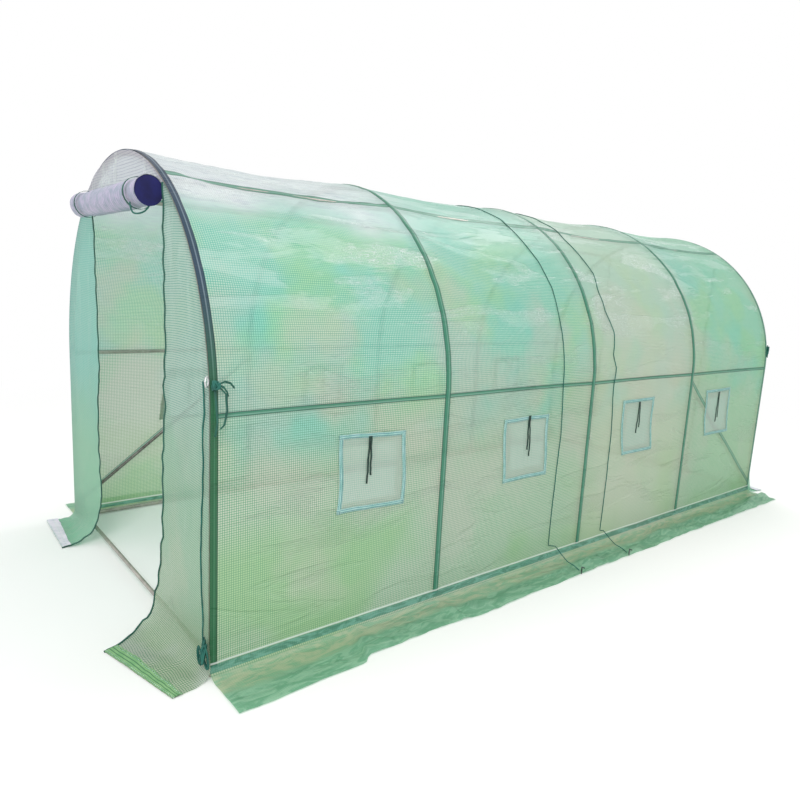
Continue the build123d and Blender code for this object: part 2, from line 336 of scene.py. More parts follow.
def cover_tints(n, colour, uv, y, level):
    """The main cover's broad tints: beige past the middle, green at the back, and a pale ridge in front that
    is a painted highlight, with darker streaks.
    """
    beige = n.times(within(n, y, 0.25, 0.85, 0.5), 0.45)
    colour = n.mix(beige, colour, (0.70, 0.68, 0.55, 1))
    colour = n.mix(n.ramp(y, 0.9, 1.8, 0.0, 0.35), colour, (0.38, 0.68, 0.38, 1))
    # The pale front ridge is a painted highlight, strongest high up and towards the front
    ridge = n.times(n.ramp(level, 1.66, 1.90), n.ramp(y, -0.8, -1.4, 0.08, 0.92))
    colour = n.mix(ridge, colour, (0.80, 0.79, 0.84, 1))
    ridge_streaks = n.times(ridge, cloudy(n, uv, 1.0, 0.45, 0.7, 5.0, (60.0, 9.0, 1.0), 3.0, 0.7, 1.0))
    return n.mix(n.times(ridge_streaks, 0.7), colour, (0.42, 0.45, 0.55, 1))


def cover_foot(n, colour, opaque, uv, round_t, sway):
    """The foot of the main cover's walls: a painted highlight line and a band of painted shade at the base
    rail, then a pale strip and a green hem, mottled with painted wrinkle shading.
    """
    # Light and dark mottling that paints the light and shade of wrinkles
    wrinkle_shading = cloudy(n, uv, 1.0, 0.40, 0.62, 5.0, (28.0, 7.0, 1.0), 13.0, 0.6, 1.8)
    strip = n.mix(wrinkle_shading, (0.54, 0.60, 0.42, 1), (0.28, 0.52, 0.34, 1))
    colour = n.mix(n.times(n.ramp(round_t, WALL_END + 0.03, WALL_END + 0.045), 0.8), colour, strip)
    hem = n.mix(wrinkle_shading, (0.15, 0.43, 0.27, 1), (0.36, 0.61, 0.44, 1))
    rim = n.plus(round_t, n.times(n.minus(sway, 0.5), 0.10))
    colour = n.mix(n.times(n.ramp(rim, HEM - 0.13, HEM - 0.09), 0.85), colour, hem)
    # A band of painted shade along the base rail, and a painted highlight line just above it
    rail_shade = within(n, round_t, WALL_END + 0.002, WALL_END + 0.026, 0.004)
    dark = n.mix(wrinkle_shading, (0.05, 0.25, 0.18, 1), (0.16, 0.45, 0.36, 1))
    colour = n.mix(n.times(rail_shade, 0.85), colour, dark)
    bright = within(n, round_t, WALL_END - 0.009, WALL_END - 0.004, 0.003)
    colour = n.mix(n.times(bright, 0.8), colour, (0.86, 0.90, 0.88, 1))
    opaque = n.larger(opaque, n.times(n.larger(rail_shade, bright), 0.9))
    return colour, n.larger(opaque, n.times(n.ramp(round_t, WALL_END, WALL_END + 0.05), 0.9))


def crumpled(n, uv, height, glare):
    """Where crumpled film catches the light: how much its painted highlight shines, and how far it stands
    out.
    """
    sheen = n.times(cloudy(n, uv, 1.0, 0.50, 0.60, 4.0, (7.0, 1.5, 1.0), 2.0, 0.6, 0.7), glare)
    fine_creases = cloudy(n, uv, 1.0, 0.50, 0.66, 5.0, (95.0, 22.0, 1.0), 7.0, 0.7, 1.5)
    cross = cloudy(n, uv, 1.0, 0.52, 0.68, 5.0, (30.0, 85.0, 1.0), 5.0, 0.7, 2.5)
    zone = cloudy(n, uv, 1.4, 0.44, 0.60, 3.0, (1.0, 0.7, 1.0), 11.0)
    crumple = n.times(n.larger(fine_creases, cross), n.times(zone, sheen))
    shine = n.plus(n.times(crumple, 0.9), n.times(sheen, 0.22))
    shine = n.times(shine, n.ramp(height, 0.95, 1.75, 0.10, 1.0), clamp=True)
    return shine, n.plus(n.times(sheen, 0.006), n.times(crumple, 0.003))


def woven_sheet(
    name, film, thread, opacity, low_film=None, low_thread=None, levels=(1.25, 0.85), patches=(), cover=False,
    glare=1.0, pitch=WEAVE, width=0.17, thread_opacity=0.96,
):
    """Hazy film with coloured threads sealed in it in squares.

    Film and threads fade to their low colours between the two levels. Each patch is a colour, a scale, a
    seed, a strength and the heights that it lies between.
    """
    n = Nodes(bpy.data.materials.new(name))
    uv = n.add("ShaderNodeUVMap", uv_map="cloth").outputs["UV"]
    xy = n.add("ShaderNodeSeparateXYZ", inputs={0: uv})
    weave = n.larger(*(threads(n, xy.outputs[axis], pitch, width) for axis in "XY"))
    where = n.add("ShaderNodeTexCoord").outputs["Object"]
    axes = n.add("ShaderNodeSeparateXYZ", inputs={0: where})
    height = axes.outputs["Z"]
    sway = n.add("ShaderNodeTexNoise", inputs={"Vector": where, "Scale": 1.6, "Detail": 3.0}).outputs["Fac"]
    level = n.plus(height, n.times(n.minus(sway, 0.5), 0.5))
    low = n.ramp(level, *levels)
    colour = n.mix(low, film, low_film or film)
    line = n.mix(low, thread, low_thread or thread)
    for tint, scale, seed, strength, bottom, top in patches:
        spot = n.times(cloudy(n, where, scale, 0.46, 0.62, seed=seed), within(n, height, bottom, top, 0.25))
        spot = n.times(spot, strength)
        colour = n.mix(spot, colour, tint)
        line = n.mix(n.times(spot, 0.6), line, darker(tint, 0.45))
    shine, relief = crumpled(n, uv, height, glare)
    relief = n.plus(relief, n.times(weave, 0.0004))
    bump = n.add("ShaderNodeBump", inputs={"Height": relief, "Strength": 0.6, "Distance": 1.0})
    bump = bump.outputs["Normal"]
    colour = n.mix(weave, colour, line)
    opaque = n.plus(opacity, n.times(weave, thread_opacity - opacity))
    if cover:
        colour = cover_tints(n, colour, uv, axes.outputs["Y"], level)
    # Painted highlight where the crumpled film catches the light
    colour = n.mix(shine, colour, (0.90, 0.95, 0.95, 1))
    opaque = n.plus(opaque, n.times(shine, 0.3), clamp=True)
    if cover:
        round_t = n.math("ABSOLUTE", xy.outputs["X"])
        colour, opaque = cover_tube_shading(n, colour, opaque, axes, round_t)
        colour, opaque = cover_foot(n, colour, opaque, uv, round_t, sway)
    skin = n.add(
        "ShaderNodeBsdfPrincipled",
        inputs={"Base Color": colour, "Roughness": 0.32, "Specular IOR Level": 0.5, "Normal": bump},
    )
    glow = n.add("ShaderNodeBsdfTranslucent", inputs={"Color": colour, "Normal": bump})
    lit = n.add("ShaderNodeMixShader", inputs={0: 0.40, 1: skin.outputs[0], 2: glow.outputs[0]})
    see = n.add("ShaderNodeBsdfTransparent", inputs={"Color": (0.88, 0.97, 0.93, 1)})
    both = n.add("ShaderNodeMixShader", inputs={0: opaque, 1: see.outputs[0], 2: lit.outputs[0]})
    return n.finish(both.outputs[0])


def plain_cloth(name, colour, second, rough=0.7, stripes=None):
    """Opaque woven tape, cord or film with a fine weave. Stripes are a colour, a pitch and a width."""
    n = Nodes(bpy.data.materials.new(name))
    where = n.add("ShaderNodeTexCoord").outputs["Object"]
    tint = n.mix(cloudy(n, where, 28.0, 0.3, 0.7, 4.0), colour, second)
    if stripes:
        uv = n.add("ShaderNodeUVMap", uv_map="cloth").outputs["UV"]
        across = n.add("ShaderNodeSeparateXYZ", inputs={0: uv}).outputs["X"]
        tint = n.mix(threads(n, across, stripes[1], stripes[2]), tint, stripes[0])
    weave = n.add("ShaderNodeTexVoronoi", inputs={"Vector": where, "Scale": 420.0}).outputs["Distance"]
    bump = n.add("ShaderNodeBump", inputs={"Height": weave, "Strength": 0.5, "Distance": 0.0006})
    look = {"Base Color": tint, "Roughness": rough, "Normal": bump.outputs["Normal"]}
    cloth = n.add("ShaderNodeBsdfPrincipled", inputs=look)
    return n.finish(cloth.outputs[0])


def galvanised(name, colour, rough):
    """Zinc-coated steel: faint spangle, with duller streaks."""
    n = Nodes(bpy.data.materials.new(name))
    where = n.add("ShaderNodeTexCoord").outputs["Object"]
    spangle = n.add("ShaderNodeTexVoronoi", inputs={"Vector": where, "Scale": 110.0}).outputs["Color"]
    grey = n.add("ShaderNodeRGBToBW", inputs={0: spangle}).outputs[0]
    streak = n.add("ShaderNodeTexNoise", inputs={"Vector": where, "Scale": 14.0, "Detail": 5.0})
    streak = streak.outputs["Fac"]
    tint = n.mix(n.ramp(streak, 0.35, 0.7), colour, darker(colour, 0.72))
    tint = n.mix(n.times(grey, 0.18), tint, (0.8, 0.82, 0.84, 1))
    roughness = n.ramp(streak, 0.3, 0.75, rough - 0.08, rough + 0.14)
    look = {"Base Color": tint, "Metallic": 0.75, "Roughness": roughness}
    steel = n.add("ShaderNodeBsdfPrincipled", inputs=look)
    return n.finish(steel.outputs[0])


COVER = woven_sheet(
    "mint_woven_cover", (0.50, 0.78, 0.66, 1), (0.05, 0.40, 0.31, 1), 0.74,
    low_film=(0.68, 0.73, 0.58, 1), low_thread=(0.07, 0.31, 0.17, 1),
    patches=(
        ((0.26, 0.76, 0.66, 1), 1.5, 3.0, 0.80, 0.95, 1.70),
        ((0.50, 0.82, 0.34, 1), 2.0, 8.0, 0.55, 1.1, 1.6),
        ((0.40, 0.70, 0.30, 1), 1.2, 5.0, 0.75, -0.1, 0.40),
        ((0.80, 0.72, 0.66, 1), 1.9, 15.0, 0.50, 0.3, 1.5),
    ),
    cover=True,
)
PANEL = woven_sheet(
    "pale_woven_panel", (0.66, 0.78, 0.70, 1), (0.07, 0.27, 0.22, 1), 0.70,
    low_film=(0.66, 0.70, 0.54, 1), low_thread=(0.05, 0.24, 0.11, 1), levels=(1.0, 0.4),
    patches=(
        ((0.36, 0.66, 0.46, 1), 2.2, 4.0, 0.5, 0.3, 0.9),
        ((0.84, 0.80, 0.86, 1), 3.5, 6.0, 0.85, -0.2, -0.12),
    ),
    glare=0.5,
)
LEFT_PANEL = woven_sheet(
    "teal_woven_panel", (0.40, 0.72, 0.64, 1), (0.10, 0.44, 0.38, 1), 0.78,
    low_film=(0.42, 0.70, 0.50, 1), low_thread=(0.10, 0.42, 0.28, 1), levels=(1.0, 0.4), glare=0.5,
)
GABLE = woven_sheet(
    "clear_woven_gable", (0.86, 0.84, 0.90, 1), (0.34, 0.33, 0.44, 1), 0.70,
    glare=1.0, pitch=0.0125, width=0.12,
)
ROLLED = plain_cloth(
    "rolled_sheet_lilac", (0.46, 0.41, 0.56, 1), (0.24, 0.30, 0.38, 1), 0.4,
    stripes=((0.16, 0.16, 0.28, 1), 0.022, 0.10),
)
ROLL_SHADE = plain_cloth("roll_inside_painted_shade", (0.004, 0.004, 0.055, 1), (0.007, 0.008, 0.09, 1), 0.9)
TAPE = plain_cloth(
    "teal_edge_tape", (0.20, 0.42, 0.36, 1), (0.34, 0.54, 0.50, 1), 0.8,
    stripes=((0.04, 0.17, 0.22, 1), 0.0095, 0.2),
)
HEM_TAPE = plain_cloth(
    "green_hem_tape", (0.26, 0.46, 0.22, 1), (0.17, 0.38, 0.16, 1), 0.6,
    stripes=((0.04, 0.17, 0.07, 1), 0.0175, 0.22),
)
PALE_HEM = plain_cloth("pale_hem_film", (0.74, 0.71, 0.78, 1), (0.60, 0.60, 0.68, 1), 0.5)
DARK_TAPE = plain_cloth("dark_green_binding", (0.008, 0.07, 0.05, 1), (0.015, 0.11, 0.075, 1))
DARK_CORD = plain_cloth("dark_green_cord", (0.008, 0.085, 0.065, 1), (0.012, 0.13, 0.10, 1))
STRAP = plain_cloth("black_green_strap", (0.004, 0.022, 0.016, 1), (0.008, 0.04, 0.03, 1))
STITCH = plain_cloth("pale_stitching", (0.62, 0.78, 0.70, 1), (0.42, 0.60, 0.54, 1))
FLAP = woven_sheet(
    "pale_window_flap", (0.78, 0.80, 0.74, 1), (0.22, 0.40, 0.34, 1), 0.62, glare=0.3, width=0.13,
)
NET = woven_sheet(
    "window_net", (0.6, 0.72, 0.66, 1), (0.25, 0.45, 0.38, 1), 0.04,
    glare=0.0, pitch=0.004, thread_opacity=0.4,
)
STEEL = galvanised("galvanised_tube", (0.44, 0.41, 0.36, 1), 0.36)
FASTENER = galvanised("zinc_fastener", (0.5, 0.51, 0.53, 1), 0.3)
PEG = galvanised("dark_peg_steel", (0.03, 0.045, 0.045, 1), 0.5)
DARK_STEEL = galvanised("dull_brace_steel", (0.15, 0.13, 0.11, 1), 0.42)
WHITE_RING = galvanised("white_ring", (0.75, 0.77, 0.77, 1), 0.4)


def dress(piece, material):
    """Gives a piece its material, and fixes it to the tunnel's one body."""
    piece.data.materials.clear()
    piece.data.materials.append(material)
    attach(piece, "root")
    return piece


slots = {s["node"]: s["material_slot"] for s in frame["record"]["subparts"]}
for name, node in frame["nodes"].items():
    plain = DARK_STEEL if name.startswith("brace") else STEEL
    finish = {"zinc_fastener": FASTENER, "peg_steel": PEG}.get(slots.get(name), plain)
    node.data.materials.clear()
    node.data.materials.append(finish)

# Main cover, in one sheet from hem to hem

WINDOW_Y = [(i - 1.5) * 1.03 for i in range(4)]
WINDOW_Z = 0.7
WINDOW_HALF = (0.175, 0.168)
OPENING_INSET = 0.040


def in_window(t, y):
    """Whether a place on the cover is in the opening behind a window's flap."""
    z = LEG_TOP - (abs(t) - ARC_END)
    half_y, half_z = (half - OPENING_INSET for half in WINDOW_HALF)
    return any(abs(y - c) < half_y and abs(z - WINDOW_Z) < half_z for c in WINDOW_Y)


def cover_point(t, y, off=0.0):
    """A place on the cover, t round from the ridge and y along, or as far off it as given."""
    x, z, nx, nz = section(t)
    lift = cover_lift(t, y) * (1 - smooth(END_Y - 0.05, END_Y, abs(y))) + off
    x, z = x + nx * lift, z + nz * lift
    if abs(t) > WALL_END - 0.03:
        x, z = skirt_place(x, z, t, y)
    return x, y, z


def spread(low, high, step):
    """Even steps from low to high, each about as long as given."""
    return list(np.linspace(low, high, max(2, round((high - low) / step) + 1)))


# The cover's rows are closer over each hoop
beside = (-0.016, -0.008, 0, 0.008, 0.016)
hoop_lines = [min(END_Y, max(-END_Y, h + d)) for h in HOOP_Y for d in beside]
cover_ys = sorted(set(round(y, 4) for y in spread(-END_Y, END_Y, 0.023) + hoop_lines))
cover = grid_piece(
    "woven_cover", spread(-HEM, HEM, 0.024), cover_ys, cover_point, keep=lambda t, y: not in_window(t, y)
)
dress(cover, COVER)
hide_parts("cover_roof_left", "cover_roof_top", "cover_roof_right")
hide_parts("cover_wall_left", "cover_wall_right")
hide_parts("skirt_left", "skirt_right", "wall_foot_left", "wall_foot_right")
flat_area(cover)


# Ends


def arch_half(z):
    """Half the width of the end at a height."""
    return END_HALF if z <= LEG_TOP else math.sqrt(max(0, END_HALF**2 - (z - LEG_TOP) ** 2))


# How far the end skirts lie out on the ground: most of them, the front left one, and all of them at the hoop
END_REACH, LEFT_REACH, HOOP_REACH = 0.265, 0.17, 0.155

# Where the hem is on an end sheet's cloth
END_HEM = -0.245

# The flat length of an end sheet, from the doorway's top to the hem
END_CLOTH = 2.03

# The gable's height over the doorway's top
GABLE_RISE = 0.1755


def end_section(h, bend, reach):
    """How far out and how high a point of an end is, h metres up its cloth from the ground's line."""
    arc = bend * math.pi / 2
    if h >= bend:
        return 0.0, h
    if h > bend - arc:
        a = (bend - h) / bend
        return bend * (1 - math.cos(a)), bend * (1 - math.sin(a))
    return min(reach, 2 * bend - arc - h), 0.0


# How far each front door edge stands off its straight line, from the ground up, as (height, shift)
EDGE_RUN = {
    -1: ((0.0, -0.11), (0.12, -0.07), (0.3, 0.02), (0.6, 0.0), (1.0, 0.05), (1.5, 0.03), (1.83, 0.0)),
    1: ((0.0, -0.04), (0.12, -0.10), (0.25, -0.07), (0.4, -0.03), (0.8, 0.0), (1.2, 0.018), (1.83, 0.005)),
}


def edge_shift(side, way, z):
    """How far a doorway's edge stands off its straight line at a height. The back's hangs straighter."""
    xs, ys = zip(*EDGE_RUN[side])
    return float(np.interp(z, xs, ys)) * (1 if way > 0 else 0.25)


def panel_point(side, way):
    """Places an end panel's sheet. u is across from the doorway's edge, 0 to 1, and h is up its cloth."""
    edge = abs(DOOR_EDGE["front" if way > 0 else "back", "right" if side > 0 else "left"])
    wide = END_REACH if way < 0 or side > 0 else LEFT_REACH

    def place(u, h):
        # The hem lies nearer and the bend is tighter towards the hoop
        bend = 0.16 - 0.11 * smooth(0, 1, u)
        reach = wide - (wide - HOOP_REACH) * u
        top = 2 * bend - bend * math.pi / 2
        h = h if h > 0 else h * (reach - top) / -END_HEM
        out, z = end_section(h, bend, reach)
        # The doorway's edge wanders and frills
        inner = edge + side * edge_shift(side, way, z) + 0.005 * ripple(h * 3.6, side * 2.0, way * 4.0)
        wave = 0.006 * math.sin(h * 48 + 3 * ripple(h * 4, side, way))
        wave += 0.008 * ripple(h * 14, side * 7.0, way, 2)
        inner += wave * (1 - smooth(0, 0.2, u))
        # The skirt spreads out at the foot
        flare = smooth(0.2, -0.16, h)
        x = inner + (arch_half(max(0, z)) - inner) * u + 0.05 * flare * u * (side > 0)
        x += 0.10 * smooth(0.0, -0.2, h) * (1 - u) * (side > 0 and way > 0)
        # Belly, folds and the crumples on the ground
        belly = math.sin(math.pi * u) * math.sin(math.pi * min(1, z / DOOR_TOP))
        out += 0.010 * belly + 0.006 * (1 - u) * ripple(h * 2.0, 5.0 * side, 9.0 * way) * (1 - flare)
        out += 0.006 * belly * crease(x * 3 + z, z * 1.2, 4.0 * side) + STAND_OFF
        calm = 1 - 0.75 * smooth(-0.10, -0.17, h)
        z += smooth(0.1, -0.05, h) * 0.020 * calm * abs(ripple(x * 6, h * 3, 3.3 * side, 4))
        return side * x, way * (-END_Y - out), max(z, GROUND)

    return place


def end_cloth_uv(piece):
    """Gives an end sheet its UV from its place: across, and up plus out."""
    mesh = piece.data
    layer = mesh.uv_layers["cloth"].data
    for loop in mesh.loops:
        co = mesh.vertices[loop.vertex_index].co
        layer[loop.index].uv = (co.x, co.z + END_Y - abs(co.y))


def end_panel(end, way, side_name, side):
    """The sheet beside a doorway, from its edge to the hoop."""
    sheet = grid_piece(
        f"{end}_{side_name}_sheet", spread(0, 1, 0.04), spread(END_HEM, DOOR_TOP, 0.024),
        panel_point(side, way),
    )
    end_cloth_uv(sheet)
    dress(sheet, LEFT_PANEL if (side < 0) == (way > 0) else PANEL)
    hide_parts(f"{end}_panel_{side_name}")
    wide = END_HALF - abs(DOOR_EDGE[end, side_name])
    area = min(flat_area(sheet), wide * END_CLOTH)


def gable(end, way):
    """The sheet over a doorway, cut to the arch."""

    def place(u, v):
        z = DOOR_TOP + v * GABLE_RISE
        x = u * arch_half(z)
        out = 0.006 * (1 - v) * (1 + ripple(x * 3, z * 4, way)) * 0.5 + 0.004 * ripple(x * 2, z * 9, 2)
        return x, way * (-END_Y - STAND_OFF - out), z

    sheet = grid_piece(f"{end}_gable_sheet", spread(-1, 1, 0.025), spread(0, 1, 0.06), place)
    end_cloth_uv(sheet)
    dress(sheet, GABLE)
    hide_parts(f"{end}_gable")


for end, way in ENDS:
    for side_name, side in SIDES:
        end_panel(end, way, side_name, side)
    gable(end, way)


def tape_along(name, place, us, width, thickness, material, nodes=()):
    """A tape that follows a run of points, each with the direction that its width takes."""
    points = [place(u) for u in us]
    mesh = bpy.data.meshes.new(name)
    verts, faces = [], []
    run = [0.0]
    for (a, _), (b, _) in zip(points, points[1:]):
        run.append(run[-1] + (Vector(b) - Vector(a)).length)
    for co, across in points:
        co, across = Vector(co), Vector(across).normalized() * width / 2
        verts += [co - across, co + across]
    for i in range(len(points) - 1):
        faces.append((2 * i, 2 * i + 1, 2 * i + 3, 2 * i + 2))
    mesh.from_pydata(verts, [], faces)
    layer = mesh.uv_layers.new(name="cloth").data
    for loop in mesh.loops:
        layer[loop.index].uv = (width * (loop.vertex_index % 2), run[loop.vertex_index // 2])
    mesh.polygons.foreach_set("use_smooth", [True] * len(faces))
    tape = bpy.data.objects.new(name, mesh)
    scene.collection.objects.link(tape)
    body = tape.modifiers.new("thickness", "SOLIDIFY")
    body.thickness, body.offset = thickness, 0.0
    dress(tape, material)
    if nodes:
        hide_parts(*nodes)
    return tape


def stitch_tree():
    """Geometry Nodes that set a row of short stitches along each line of a mesh."""
    tree = bpy.data.node_groups.new("stitch_row", "GeometryNodeTree")
    tree.interface.new_socket("Lines", in_out="INPUT", socket_type="NodeSocketGeometry")
    for name, kind in (
        ("Spacing", "Float"), ("Stitch Length", "Float"), ("Stitch Width", "Float"),
        ("Seed", "Int"), ("Thread", "Material"),
    ):
        tree.interface.new_socket(name, in_out="INPUT", socket_type=f"NodeSocket{kind}")
    tree.interface.new_socket("Stitches", in_out="OUTPUT", socket_type="NodeSocketGeometry")
    put = tree.nodes.new
    given, made = put("NodeGroupInput"), put("NodeGroupOutput")
    curve, even = put("GeometryNodeMeshToCurve"), put("GeometryNodeResampleCurve")
    even.mode = "LENGTH"
    size, stitch = put("ShaderNodeCombineXYZ"), put("GeometryNodeMeshCube")
    tangent, turn = put("GeometryNodeInputTangent"), put("FunctionNodeAlignRotationToVector")
    turn.axis = "X"
    vary, place = put("FunctionNodeRandomValue"), put("GeometryNodeInstanceOnPoints")
    vary.inputs[2].default_value, vary.inputs[3].default_value = 0.75, 1.15
    real, paint = put("GeometryNodeRealizeInstances"), put("GeometryNodeSetMaterial")
    for source, out, target, into in (
        (given, "Lines", curve, "Mesh"), (curve, "Curve", even, "Curve"), (given, "Spacing", even, "Length"),
        (given, "Stitch Length", size, "X"), (given, "Stitch Width", size, "Y"),
        (given, "Stitch Width", size, "Z"), (size, "Vector", stitch, "Size"),
        (even, "Curve", place, "Points"), (stitch, "Mesh", place, "Instance"),
        (tangent, "Tangent", turn, "Vector"), (turn, "Rotation", place, "Rotation"),
        (given, "Seed", vary, "Seed"), (vary, 1, place, "Scale"), (place, "Instances", real, "Geometry"),
        (real, "Geometry", paint, "Geometry"), (given, "Thread", paint, "Material"),
        (paint, "Geometry", made, "Stitches"),
    ):
        tree.links.new(source.outputs[out], target.inputs[into])
    return tree


STITCH_ROW = stitch_tree()


def stitch_rows(name, rows, spacing, length, width, material, seed):
    """Rows of stitches as one plain mesh."""
    verts, edges = [], []
    for row in rows:
        edges += [(len(verts) + i, len(verts) + i + 1) for i in range(len(row) - 1)]
        verts += [tuple(co) for co in row]
    lines = bpy.data.meshes.new(f"{name}_lines")
    lines.from_pydata(verts, edges, [])
    ob = bpy.data.objects.new(f"{name}_lines", lines)
    scene.collection.objects.link(ob)
    modifier = ob.modifiers.new("stitches", "NODES")
    modifier.node_group = STITCH_ROW
    values = {"Spacing": spacing, "Stitch Length": length, "Stitch Width": width}
    values |= {"Seed": seed, "Thread": material}
    for item in STITCH_ROW.interface.items_tree:
        if item.name in values:
            modifier[item.identifier] = values[item.name]
    depsgraph = bpy.context.evaluated_depsgraph_get()
    mesh = bpy.data.meshes.new_from_object(ob.evaluated_get(depsgraph))
    ob.modifiers.remove(modifier)
    bpy.data.objects.remove(ob)
    piece = bpy.data.objects.new(name, mesh)
    scene.collection.objects.link(piece)
    return dress(piece, material)


def panel_trim(end, way, side_name, side):
    """The binding on a panel's doorway edge, and its hem on the ground with two rows of stitches."""
    base = panel_point(side, way)

    def edge(h):
        x, y, z = base(0, h)
        return (x, y - way * 0.001, z), (side, 0, 0)

    def hem_point(v, u):
        x, y, z = base(u, END_HEM + v)
        return x, y, z + 0.003

    tape_along(
        f"{end}_{side_name}_binding", edge, spread(END_HEM, DOOR_TOP, 0.02), 0.011, 0.004,
        DARK_TAPE, [f"{end}_bindings"],
    )
    pale = side * way < 0
    depth = 0.11 if pale else 0.07
    hem = grid_piece(f"{end}_{side_name}_hem", spread(0, depth, 0.012), spread(0, 1, 0.04), hem_point)
    dress(hem, PALE_HEM if pale else HEM_TAPE)
    length = (Vector(hem_point(0, 0)) - Vector(hem_point(0, 1))).length
    seams = []
    for v in (0.008, 0.06):
        seams.append([Vector(hem_point(v, u)) + Vector((0, 0, 0.001)) for u in spread(0, 1, 0.04)])
    name = f"{end}_{side_name}_hem_stitches"
    stitch_rows(name, seams, 0.010, 0.006, 0.0012, STITCH, seed=3)


for end, way in ENDS:
    for side_name, side in SIDES:
        panel_trim(end, way, side_name, side)


# Back door

BACK_DOOR_HALF = 0.487
BACK_DOOR_BEND = 0.11


def back_door_point(u, h):
    """Places the back door's sheet. u is across, -1 to 1, and h is up its cloth."""
    out, z = end_section(h, BACK_DOOR_BEND, END_REACH)
    out += 0.010 * math.sin(math.pi * (u + 1) / 2) * ripple(u, z * 1.5, 4.4) + STAND_OFF
    z += smooth(0.1, -0.05, h) * 0.018 * abs(ripple(u * 4, h * 3, 6.1, 4))
    return u * BACK_DOOR_HALF, END_Y + out, max(z, GROUND)


door = grid_piece("back_door_sheet", spread(-1, 1, 0.05), spread(END_HEM, DOOR_TOP, 0.024), back_door_point)
end_cloth_uv(door)
dress(door, PANEL)
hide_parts("back_door")


# Rolled-up front door

ROLL_FROM, ROLL_TO = -0.4297, 0.5497
ROLL_Y, ROLL_Z = -2.3023, 1.785
ROLL_TIES = (ROLL_FROM + 0.119, ROLL_TO - 0.119)
ROLL_FLATTEN = 0.96
ROLL_TURNS = 3.2

# Radii of the roll: its inmost turn and what each turn adds, its near-black lining and end of painted shade,
# and its straps
ROLL_R, TURN_GROWTH, LINING_R, END_R, STRAP_R = 0.0475, 0.0034, 0.045, 0.0565, 0.0608


def roll_point(x, turn):
    """The rolled sheet: a spiral of a few layers, pulled in at its two ties."""
    a = turn * 2 * math.pi
    pull = sum(math.exp(-(((x - c) / 0.05) ** 2)) for c in ROLL_TIES)
    radius = ROLL_R + TURN_GROWTH * turn - 0.004 * pull
    radius += 0.0022 * ripple(x * 6, a * 0.9, 2.0) * (1 - 0.6 * pull)
    sag = -0.006 * math.sin(math.pi * (x - ROLL_FROM) / (ROLL_TO - ROLL_FROM))
    wander = 0.004 * ripple(x * 3, 1.5, 8.0)
    y = ROLL_Y + radius * math.sin(a) * ROLL_FLATTEN + wander
    return x, y, ROLL_Z + radius * math.cos(a) + sag + 0.002


roll = grid_piece("rolled_door", spread(ROLL_FROM, ROLL_TO, 0.02), spread(0, ROLL_TURNS, 0.035), roll_point)
dress(roll, ROLLED)
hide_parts("front_door_roll")
# Its UV is the place along it and the way round it, so its stripes run round it
ROLL_MEAN = 0.06
for loop in roll.data.loops:
    co = roll.data.vertices[loop.vertex_index].co
    around = math.atan2(co.y - ROLL_Y, co.z - ROLL_Z) * ROLL_MEAN
    roll.data.uv_layers["cloth"].data[loop.index].uv = (co.x, around)


def inner_point(x, turn, radius):
    """A place on a plain round roll, inside the creased one."""
    a = turn * 2 * math.pi
    y = ROLL_Y + radius * math.sin(a) * ROLL_FLATTEN
    return x, y, ROLL_Z + radius * math.cos(a) + 0.001


# The roll's inside and its end are near black: painted shade inside the rolled sheet
liner = grid_piece(
    "roll_inside", spread(ROLL_FROM + 0.004, ROLL_TO - 0.004, 0.06), spread(0, 1, 0.04),
    lambda x, turn: inner_point(x, turn, LINING_R),
)
dress(liner, ROLL_SHADE)
cap = grid_piece(
    "roll_core", spread(0.02, 1, 0.25), spread(0, 1, 0.04),
    lambda r, turn: inner_point(ROLL_TO + 0.001, turn, END_R * r),
)
dress(cap, ROLL_SHADE)


# Windows

# How far each window's corners have slipped: top front, top back, bottom back, bottom front
WINDOW_SLIP = (
    ((0.030, 0.006), (0.026, -0.004), (0.022, -0.003), (0.014, 0.006)),
    ((-0.012, -0.016), (-0.015, -0.015), (-0.016, -0.012), (-0.010, -0.014)),
    ((-0.013, 0.007), (-0.009, 0.012), (0.014, 0.004), (0.022, 0.001)),
    ((-0.028, 0.012), (-0.004, 0.012), (0.028, 0.017), (0.022, 0.019)),
)

# How long each window's two hanging ties are, from the front window back
TIE_LENGTHS = ((0.205, 0.17), (0.18, 0.215), (0.195, 0.16), (0.215, 0.185))

# The width of the tape round a window, and how far its middle line and the net's edge are inside the flap's
EDGE_TAPE, TAPE_INSET, NET_INSET = 0.020, 0.011, 0.02

# How far each layer of a window stands off the cover
NET_OFF, FLAP_OFF, TAPE_OFF, STITCH_OFF, TIE_OFF = -0.001, 0.0028, 0.0045, 0.0056, 0.0075


def warp_window(side, k, y, z):
    """Each window hangs a little out of square. The left side's run the other way."""
    u = (y - WINDOW_Y[k]) / (2 * WINDOW_HALF[0]) + 0.5
    v = (z - WINDOW_Z) / (2 * WINDOW_HALF[1]) + 0.5
    k = k if side > 0 else len(WINDOW_SLIP) - 1 - k
    a, b, c, d = WINDOW_SLIP[k]
    slip = [v * ((1 - u) * a[i] + u * b[i]) + (1 - v) * ((1 - u) * d[i] + u * c[i]) for i in (0, 1)]
    dy = 0.006 * math.sin(math.pi * 1.6 * v + k) * (1 + 0.3 * side)
    dz = 0.005 * ripple(k * 2.7 + side * 2, y * 3, 6.0)
    return y + slip[0] * side + dy, z + slip[1] + dz


